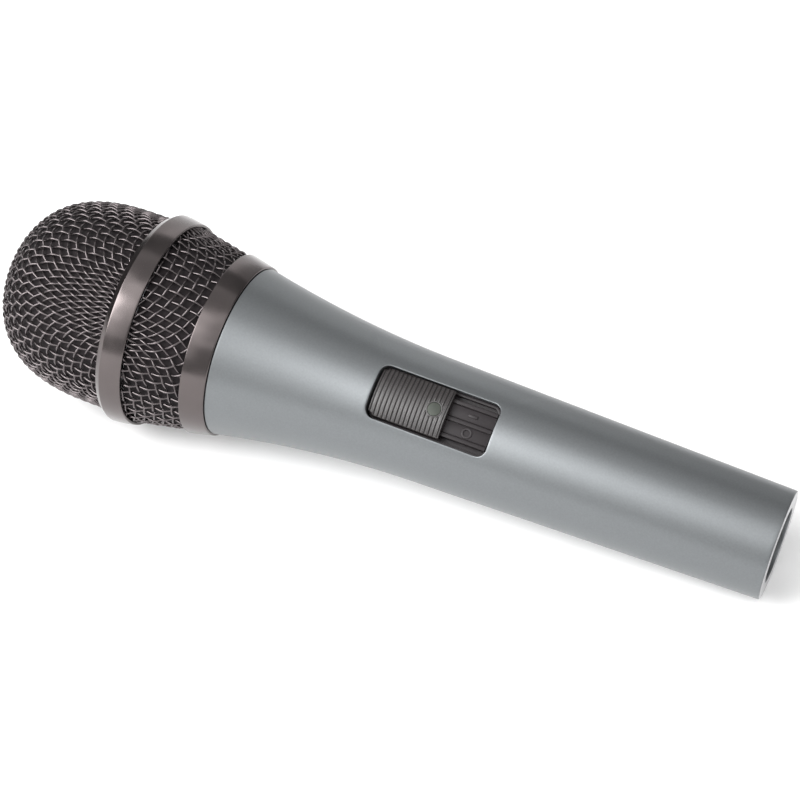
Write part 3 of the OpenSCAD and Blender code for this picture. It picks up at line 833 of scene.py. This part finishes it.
def eased(net, profile, cell):
    """The net after its wires lock: cells stop shearing at LOCK_ANGLE and push their neighbours."""
    keys = sorted(net)
    number = {k: n for n, k in enumerate(keys)}
    at = np.array([profile.point(*net[k]) for k in keys])
    sides, spans = [], []
    for (i, j), n in number.items():
        for other in ((i + 1, j), (i, j + 1)):
            if other in number:
                sides.append((n, number[other]))
        for other in ((i + 1, j + 1), (i + 1, j - 1)):
            if other in number:
                spans.append((n, number[other]))
    sides, spans = np.array(sides), np.array(spans)
    shortest = 2 * cell * math.sin(math.radians(LOCK_ANGLE) / 2)
    table_r, table_z, table_s = profile.r[::3], profile.z[::3], profile.s[::3]
    passes, stride = 160, 1.6
    count = np.zeros(len(keys))
    for pair in (sides, spans):
        for column in (0, 1):
            np.add.at(count, pair[:, column], 1)
    for _ in range(passes):
        move = np.zeros_like(at)
        for pair, fixed in ((sides, True), (spans, False)):
            gap = at[pair[:, 1]] - at[pair[:, 0]]
            size = np.linalg.norm(gap, axis=1)
            want = np.full(len(size), cell) if fixed else np.maximum(size, shortest)
            push = gap * ((size - want) / size * (0.5 if fixed else 1.0))[:, None]
            np.add.at(move, pair[:, 0], push)
            np.add.at(move, pair[:, 1], -push)
        at += move / count[:, None] * stride
        r = np.hypot(at[:, 0], at[:, 1])
        away = (r[:, None] - table_r) ** 2 + (at[:, 2][:, None] - table_z) ** 2
        s = table_s[np.argmin(away, axis=1)]
        new_r, new_z = np.interp(s, profile.s, profile.r), np.interp(s, profile.s, profile.z)
        scale = new_r / np.maximum(r, 1e-6)
        at = np.stack([at[:, 0] * scale, at[:, 1] * scale, new_z], 1)
    return {k: (float(s[n]), math.atan2(at[n][1], at[n][0])) for k, n in number.items()}


def wire_runs(net, family):
    """Lists of neighbouring net places along each wire of one family, split at gaps."""
    other = 1 - family
    lines = {}
    for key in net:
        lines.setdefault(key[other], []).append(key[family])
    for fixed in sorted(lines):
        steps = sorted(lines[fixed])
        run = [steps[0]]
        for k in steps[1:]:
            if k != run[-1] + 1:
                yield fixed, run
                run = []
            run.append(k)
        yield fixed, run


def waved_path(centre, normal, side):
    """A smooth path through the crossings that passes over (side 1) or under (-1) at each."""
    c = np.vstack([2 * centre[0] - centre[1], centre, 2 * centre[-1] - centre[-2]])
    path, up = [], []
    last = len(centre) - 2
    for i in range(last + 1):
        p0, p1, p2, p3 = c[i:i + 4]
        for q in range(WIRE_STEPS + (1 if i == last else 0)):
            f = q / WIRE_STEPS
            at = 0.5 * (2 * p1 + (p2 - p0) * f + (2 * p0 - 5 * p1 + 4 * p2 - p3) * f * f
                        + (3 * p1 - p0 - 3 * p2 + p3) * f ** 3)
            n = normal[i] * (1 - f) + normal[i + 1] * f
            n /= np.linalg.norm(n)
            path.append(at + n * side[i] * WAVE * math.cos(math.pi * f))
            up.append(n)
    return np.array(path), np.array(up)


def stretches(flags):
    """Pairs (start, end) of the runs of true flags."""
    edges = np.flatnonzero(np.diff(np.concatenate([[0], np.array(flags, int), [0]])))
    return zip(edges[::2], edges[1::2])


def woven(name, net, place, keep, family, turn, stands_for):
    """One family of wires, waving over and under the other family."""
    verts, faces = [], []
    spin = np.array([[math.cos(turn), -math.sin(turn), 0], [math.sin(turn), math.cos(turn), 0],
                     [0, 0, 1]])
    first_side = 1 if family == 0 else -1
    for fixed, run in wire_runs(net, family):
        if len(run) < 2:
            continue
        keys = [(k, fixed) if family == 0 else (fixed, k) for k in run]
        centre, normal = (np.array(part) for part in zip(*(place(*net[k]) for k in keys)))
        side = [first_side if (i + j) % 2 == 0 else -first_side for i, j in keys]
        path, up = (part @ spin.T for part in waved_path(centre, normal, side))
        for start, end in stretches([keep(p) for p in path]):
            if end - start > 2:
                add_tube(verts, faces, path[start:end], up[start:end])
    piece(name, "grille", verts, faces, WIRE, stands_for)


def add_tube(verts, faces, path, up):
    """Adds a wire along a path, capped at both ends."""
    ahead = np.gradient(path, axis=0)
    ahead /= np.linalg.norm(ahead, axis=1)[:, None]
    right = np.cross(ahead, up)
    right /= np.linalg.norm(right, axis=1)[:, None]
    over = np.cross(right, ahead)
    turns = [2 * math.pi * k / WIRE_SIDES for k in range(WIRE_SIDES)]
    add_loft(verts, faces, [
        [tuple(p + WIRE_R * (math.cos(a) * r + math.sin(a) * o)) for a in turns]
        for p, r, o in zip(path, right, over)
    ])


def weave(prefix, node, net, place, keep, turn):
    """Both families of wires of a basket."""
    woven(f"{prefix}_wires_up", net, place, keep, 0, turn, [node])
    woven(f"{prefix}_wires_across", net, place, keep, 1, turn, ())


def build_front_mesh():
    middle = MESH_T / 2
    low = RING_Z[0] + 2.7
    profile = Profile(dome_outline(middle, 60)[::-1] + [(DOME_R - middle, low - 2 * PITCH)])
    net = eased(full_net(draped_net(profile, PITCH)), profile, PITCH)
    weave("dome", "front_mesh", net, profile.place, lambda p: p[2] >= low, UPWARDS)


def build_rear_mesh():
    """The net is draped over a cup with a flat bottom, and only the cup's wall is kept."""
    floor_z, end_z = COLLAR_TOP - 0.4, RING_Z[0] + 2 * PITCH
    corner = 2.5
    foot_r = BAND_LOW_R - MESH_T / 2
    lean_in = math.atan(BAND_SLOPE)
    back = corner * math.tan((math.pi / 2 - lean_in) / 2)
    cup = [(0, floor_z)]
    for q in range(13):
        a = (math.pi / 2 - lean_in) * q / 12
        cup.append((foot_r - back + corner * math.sin(a), floor_z + corner * (1 - math.cos(a))))
    cup.append((foot_r + BAND_SLOPE * (end_z - floor_z), end_z))
    profile = Profile(cup)
    net = eased(full_net(draped_net(profile, PITCH)), profile, PITCH)
    length = profile.s[-1]
    along = np.array([math.sin(lean_in), math.cos(lean_in)])
    wall_end = np.array([foot_r + BAND_SLOPE * (end_z - COLLAR_TOP), end_z])

    def place(s, a):
        r, z = wall_end - along * (length - s)
        p = np.array([r * math.cos(a), r * math.sin(a), z])
        n = np.array([along[1] * math.cos(a), along[1] * math.sin(a), -along[0]])
        return p, n

    low, high = COLLAR_TOP - 0.95, RING_Z[0] + 1.0
    wall_from = length - (end_z - low) / along[1] - 2 * PITCH
    wall_net = {k: at for k, at in net.items() if at[0] > wall_from}
    turn = UPWARDS + math.radians(REAR_TURN)
    weave("rear", "rear_mesh", wall_net, place, lambda p: low <= p[2] <= high, turn)


build_front_mesh()
build_rear_mesh()

# ---------------------------------------------------------------- foams and felts


def foam(name, body, outline, finish, node, segments, bump, scale):
    """A lathed soft piece; its skin is roughened by bump mm, with scale lumps per mm."""
    verts, faces = revolve(outline, segments)
    pts = np.array(verts, float)
    n = len(outline)
    ring = np.array(outline, float)
    ahead = np.roll(ring, -1, 0) - np.roll(ring, 1, 0)
    ahead /= np.linalg.norm(ahead, axis=1)[:, None]
    out_r, out_z = ahead[:, 1], -ahead[:, 0]
    area = sum(ring[i][0] * ring[(i + 1) % n][1] - ring[(i + 1) % n][0] * ring[i][1]
               for i in range(n))
    sign = 1 if area > 0 else -1
    for i in range(len(pts)):
        k = i % n
        p = Vector(pts[i]) * scale
        h = noise.noise(p) + 0.6 * noise.noise(p * 2.3)
        a = math.atan2(pts[i][1], pts[i][0])
        d = min(bump * h, bump) - bump * 0.4
        pts[i] += sign * d * np.array([out_r[k] * math.cos(a), out_r[k] * math.sin(a), out_z[k]])
    piece(name, body, pts, faces, finish, [node])


def dense(outline, step):
    """The closed outline with points added every so often."""
    out = []
    n = len(outline)
    for i in range(n):
        a, b = np.array(outline[i], float), np.array(outline[(i + 1) % n], float)
        parts = max(1, int(round(np.linalg.norm(b - a) / step)))
        for q in range(parts):
            out.append(tuple(a + (b - a) * q / parts))
    return out


def build_foams():
    skin = MESH_T + 0.15
    low = RING_Z[0] + 4.8
    outside = dome_outline(skin, 40)
    inside = dome_outline(skin + FOAM_T, 30)[::-1]
    dome = [(DOME_R - skin - FOAM_T, low), (DOME_R - skin, low)] + outside + inside
    low, high = COLLAR_TOP + 0.25, RING_Z[0] + 0.4
    low_r = BAND_LOW_R + BAND_SLOPE * (low - COLLAR_TOP) - skin
    high_r = BAND_TOP_R - skin
    thick = FOAM_T - 0.4
    band = rounded([(low_r - thick, low), (low_r, low), (high_r, high), (high_r - thick, high)],
                   0.4)
    for name, outline, node in (("dome_foam", dome, "front_foam"),
                                ("band_foam", band, "rear_foam")):
        outline = dense([(max(r, 0.02), z) for r, z in outline], 0.7)
        foam(name, "grille", outline, FOAM, node, 160, 0.3, 1.1)


def build_felt(name, node):
    low, high = span(node, 2)
    r_in, r_out = radii(node)
    r_in = r_in if r_in > 2 else 0.02
    thin = min(0.12, (high - low) / 5)
    low, high, r_out = low + thin, high - thin, r_out - thin
    outline = rounded([(r_in, low), (r_out, low), (r_out, high), (r_in, high)], 0.12)
    foam(name, "handle", dense(outline, 0.6), FELT, node, 96, thin, 2.2)


build_foams()
build_felt("chamber_felt_pad", "chamber_felt")
build_felt("vent_felt_pad", "vent_felt")

# ---------------------------------------------------------------- switch


def add_marks(verts, faces, z):
    """The raised bar and ring of one end of the bed."""
    half_w, half_z = 0.35, 1.05
    add_box(verts, faces, (MARK_FOOT_X, MARK_Y - half_w, z - half_z),
            (MARK_X, MARK_Y + half_w, z + half_z), 0.12, 3)
    ring_at(verts, faces, MARK_FOOT_X, MARK_X, -MARK_Y, z, 0.7, 1.15)


def build_frame():
    verts, faces = [], []
    z0, z1 = FRAME_Z
    corner = OPENING_CORNER - 0.15
    snug, thick = 0.1, 0.6
    outer = slot_outline(FRAME_Y + snug, z0 - snug, z1 + snug, [corner + snug] * 4)
    inner = slot_outline(FRAME_Y - thick, z0 + thick, z1 - thick, [corner - thick] * 4)
    add_loft(verts, faces, [
        at_x(outer, BED_X), at_x(outer, RIM_X - 0.15), at_x(shrunk(outer, 0.05), RIM_X - 0.04),
        at_x(shrunk(outer, 0.16), RIM_X), at_x(shrunk(inner, -0.16), RIM_X),
        at_x(shrunk(inner, -0.05), RIM_X - 0.04), at_x(inner, RIM_X - 0.15), at_x(inner, PLATE_X),
        at_x(inner, NECK_X)
    ], cap=False)
    add_loft(verts, faces, [at_x(outer, BED_X), at_x(outer, PLATE_X)])
    low, high = z0 + 0.3, z1 - 0.3
    neck = RAIL_HALF_W - 0.45
    add_box(verts, faces, (NECK_X, -neck, low), (RAIL_FOOT_X, neck, high), 0.08)
    add_box(verts, faces, (RIM_X, -RAIL_HALF_W, low), (RIM_X + 0.3, RAIL_HALF_W, high), 0.06)
    for side in (-1, 0, 1):
        y = side * (RAIL_HALF_W - RAIL_W / 2)
        add_box(verts, faces, (RAIL_FOOT_X, y - RAIL_W / 2, low), (RAIL_X, y + RAIL_W / 2, high),
                0.13, 3)
    pad = (RAIL_HALF_W - 1.5 * RAIL_W - 0.3) / 2
    for side in (-1, 1):
        y = side * MARK_Y
        add_box(verts, faces, (RAIL_FOOT_X, y - pad, low), (PAD_X, y + pad, high), 0.07)
    for z in MARKS_Z:
        add_marks(verts, faces, z)
    for z in PEGS_Z:
        bar_at(verts, faces, 6.0, 8.4, 0, z, 1.2)
        bar_at(verts, faces, 4.6, BED_X, 0, z, 0.7)
    piece("switch_bed", "handle", verts, faces, FRAME_PLASTIC, ["switch_frame"],
          sharp=40)


def ring_at(verts, faces, x0, x1, y, z, r_in, r_out, segments=40):
    """Adds a ring with its axis along x and rounded edges at x1."""
    outline = rounded([(r_in, x0), (r_out, x0), (r_out, x1), (r_in, x1)], [0, 0, 0.08, 0.08], 3)
    add_turned(verts, faces, outline, y, z, segments)


def bar_at(verts, faces, x0, x1, y, z, r):
    """Adds a round bar along x."""
    outline = [(0.001, x0), (r, x0), (r, x1), (0.001, x1)]
    add_turned(verts, faces, outline, y, z, 32)


def arched(outline, radius):
    """A (y, z) outline laid on a cylinder round the microphone's axis."""
    return [(math.sqrt(radius ** 2 - y * y), y, z) for y, z in outline]


def corner_back(edge, corner):
    """How far a rounded corner draws back the outline, at a distance from the side beside it."""
    return corner - math.sqrt(max(corner ** 2 - max(corner - edge, 0) ** 2, 0))


def add_rib(verts, faces, y0, y1, low, high):
    """A rounded rib across the slider, following its arched cap."""
    half, middle = (high - low) / 2, (high + low) / 2
    loops = []
    steps = max(2, int((y1 - y0) / 0.35))
    for i in range(steps + 1):
        f = i / steps
        y = y0 + (y1 - y0) * f
        tuck = 0.12 if i in (0, steps) else 0
        loop = []
        for q in range(9):
            a = math.pi * q / 8
            r = CAP_R - 0.15 + (RIB_H + 0.15 - tuck) * math.sin(a) ** 0.6
            z = middle - half * math.cos(a) * (1 - tuck)
            spin = y / RIB_TOP_R
            loop.append((r * math.cos(math.asin(spin)), r * spin, z))
        loops.append(loop)
    add_loft(verts, faces, loops)


def add_cap(verts, faces, plate, corner):
    """The slider's plate: flat below, arched above, its top closed by strips along z."""
    z0, z1 = SLIDER_Z[0] + SLIDER_EDGE, SLIDER_Z[1] - SLIDER_EDGE
    y_low, y_high = SLIDER_Y[0] + SLIDER_EDGE, SLIDER_Y[1] - SLIDER_EDGE
    first = len(verts)
    skin = [at_x(shrunk(plate, 0.1), CAP_X), at_x(plate, CAP_X + 0.1)]
    for inset, sunk in ((0, 0.12), (0.04, 0.04), (SLIDER_EDGE, 0)):
        skin.append(arched(shrunk(plate, inset), CAP_R - sunk))
    add_loft(verts, faces, skin, cap=False)
    faces.append(tuple(range(first, first + len(plate))))
    strips = 16
    base = len(verts)
    for i in range(strips + 1):
        y = y_low + (y_high - y_low) * i / strips
        back = corner_back(min(y - y_low, y_high - y), corner - SLIDER_EDGE)
        x = math.sqrt(CAP_R ** 2 - y * y)
        verts.extend([(x, y, z0), (x, y, z1 - back)])
    for k in range(base, base + 2 * strips, 2):
        faces.append((k, k + 2, k + 3, k + 1))


def add_ribs(verts, faces, corner):
    """Ribs across the slider, which stop at the plug and follow the round corners."""
    pitch = (SLIDER_Z[1] - SLIDER_Z[0] - RIB_W - 0.4) / (RIBS - 1)
    for i in range(RIBS):
        low = SLIDER_Z[0] + 0.3 + i * pitch
        mid = low + RIB_W / 2
        back = corner_back(SLIDER_Z[1] - mid, corner)
        left, right = SLIDER_Y[0] + back, SLIDER_Y[1] - back
        ends = [(left, right)]
        if abs(mid - MAGNET_Z) < PLUG_CLEARING_R:
            gap = math.sqrt(PLUG_CLEARING_R ** 2 - (mid - MAGNET_Z) ** 2)
            ends = [(left, MAGNET_Y - gap), (MAGNET_Y + gap, right)]
        for y0, y1 in ends:
            add_rib(verts, faces, y0, y1, low, low + RIB_W)


def add_skirts(verts, faces):
    """The two skirts under the plate, each with a hook that holds the slider on its rails."""
    low, high = SLIDER_Z[0] + 0.6, SLIDER_Z[1] - 1.5
    for side in (-1, 1):
        for y, half_w, top in ((RAIL_HALF_W + 0.4, 0.25, CAP_X + 0.05),
                               (RAIL_HALF_W + 0.2, 0.45, SKIRT_X + 0.55)):
            add_box(verts, faces, (SKIRT_X, side * y - half_w, low),
                    (top, side * y + half_w, high), 0.08)


def build_slider():
    verts, faces = [], []
    corner = OPENING_CORNER - 0.3
    centre, half = sum(SLIDER_Y) / 2, (SLIDER_Y[1] - SLIDER_Y[0]) / 2
    plate = slot_outline(half, *SLIDER_Z, [0.25, corner, corner, 0.25])
    add_cap(verts, faces, dense([(y + centre, z) for y, z in plate], 0.8), corner)
    add_ribs(verts, faces, corner)
    add_skirts(verts, faces)
    ring_at(verts, faces, CAP_R - 0.3, CAP_R + 0.16, MAGNET_Y, MAGNET_Z, 1.5, 1.75, 48)
    piece("slider_cap", "slider", verts, faces, SLIDER_PLASTIC, ["switch_slider"],
          sharp=50)


def build_plug():
    verts, faces = [], []
    top = CAP_R + 0.1
    outline = rounded([(0.001, CAP_X), (PLUG_R, CAP_X), (PLUG_R, top), (0.001, top)],
                      [0, 0.05, 0.12, 0], 4)
    add_turned(verts, faces, outline, MAGNET_Y, MAGNET_Z, 64)
    piece("slider_plug", "slider", verts, faces, MAGNET, ["slider_magnet"],
          sharp=50)


build_frame()
build_slider()
build_plug()

# ---------------------------------------------------------------- thread of the neck


def build_neck():
    """The neck with a real helical thread outside."""
    z_start, z_end = SEAM + 0.9, NECK_TOP - 0.5
    segments, per_turn, run_out = 144, 12, 0.4
    rows = int((z_end - z_start) / THREAD_LEAD * per_turn)
    inset_r = NECK_SEAT_R - 0.05
    column = [(NECK_BORE_R, NECK_SEAT_Z), (inset_r, NECK_SEAT_Z), (inset_r, SEAM),
              (THREAD_R, SEAM), (THREAD_R, SEAM + 0.6), (THREAD_ROOT_R, z_start)]
    tail = [(THREAD_ROOT_R, z_end), (THREAD_R - 0.5, NECK_TOP), (NECK_BORE_R, NECK_TOP)]
    verts = []
    for i in range(segments):
        turn = i / segments
        a = 2 * math.pi * turn
        strip = list(column)
        for k in range(1, rows):
            z = z_start + (z_end - z_start) * k / rows
            phase = ((z - z_start) / THREAD_LEAD - turn) % 1
            wave = 1 - abs(2 * phase - 1)
            ease = min(1, (z - z_start) / run_out, (z_end - z) / run_out)
            height = (THREAD_R - THREAD_ROOT_R) * min(1, wave * 1.25) * ease
            strip.append((THREAD_ROOT_R + height, z))
        strip += tail
        verts.extend((r * math.cos(a), r * math.sin(a), z) for r, z in strip)
    faces = turned_faces(segments, len(strip))
    piece("neck_thread", "handle", verts, faces, ALLOY, ["threaded_neck"], sharp=50)


build_neck()

# ---------------------------------------------------------------- floor, light, camera


WORLD = 0.155
TABLE_GLOW = 0.13
FLOOR_HALF = 6
LAMP_AWAY = 0.9
LAMP_SIZE = 0.7
LAMP_AIM = Vector((0, 0, 0.02))
# Softboxes round the microphone: azimuth from +X and elevation in degrees, power in watts
LAMPS = [
    (0, 90, 0.84), (60, 56, 0.12), (120, 56, 0.24), (240, 56, 2.1), (300, 56, 1.55),
    (225, 38, 11.4), (250, 38, 1.5), (350, 30, 2.4), (80, 20, 0.6), (120, 20, 1.7),
    (240, 20, 0.8), (280, 20, 0.65),
]
CAMERA_AT = (0.143386, -0.320686, 0.338641)
CAMERA_TILT = 47.78124
CAMERA_TURN = 23.551985
CAMERA_LENS = 99.846


def build_stage():
    floor_mat = material("paper_floor", (0.9, 0.9, 0.9), roughness=0.7)
    surface = floor_mat.node_tree.nodes["Principled BSDF"]
    surface.inputs["Emission Color"].default_value = (1, 1, 1, 1)
    surface.inputs["Emission Strength"].default_value = TABLE_GLOW
    mesh = bpy.data.meshes.new("floor")
    s = FLOOR_HALF
    mesh.from_pydata([(-s, -s, 0), (s, -s, 0), (s, s, 0), (-s, s, 0)], [], [(0, 1, 2, 3)])
    mesh.materials.append(floor_mat)
    add_object("floor", mesh)
    world = bpy.data.worlds.new("studio")
    world.use_nodes = True
    back = world.node_tree.nodes["Background"]
    back.inputs["Color"].default_value = (1, 1, 1, 1)
    back.inputs["Strength"].default_value = WORLD
    bpy.context.scene.world = world


def softbox(around, above, power):
    data = bpy.data.lights.new(f"softbox_{around}_{above}", "AREA")
    data.size = LAMP_SIZE
    data.energy = power
    a, e = math.radians(around), math.radians(above)
    way = Vector((math.cos(e) * math.cos(a), math.cos(e) * math.sin(a), math.sin(e)))
    o = add_object(data.name, data)
    o.location = LAMP_AIM + way * LAMP_AWAY
    o.rotation_mode = "QUATERNION"
    o.rotation_quaternion = (-way).to_track_quat("-Z", "Y")


def build_camera():
    data = bpy.data.cameras.new("camera")
    data.sensor_width = 36
    data.lens = CAMERA_LENS
    data.clip_start, data.clip_end = 0.01, 20
    o = add_object("camera", data)
    o.location = CAMERA_AT
    o.rotation_euler = (math.radians(CAMERA_TILT), 0, math.radians(CAMERA_TURN))
    bpy.context.scene.camera = o


build_stage()
for around, above, power in LAMPS:
    softbox(around, above, power)
build_camera()
bpy.context.scene.view_settings.view_transform = "Standard"
bpy.context.view_layer.update()
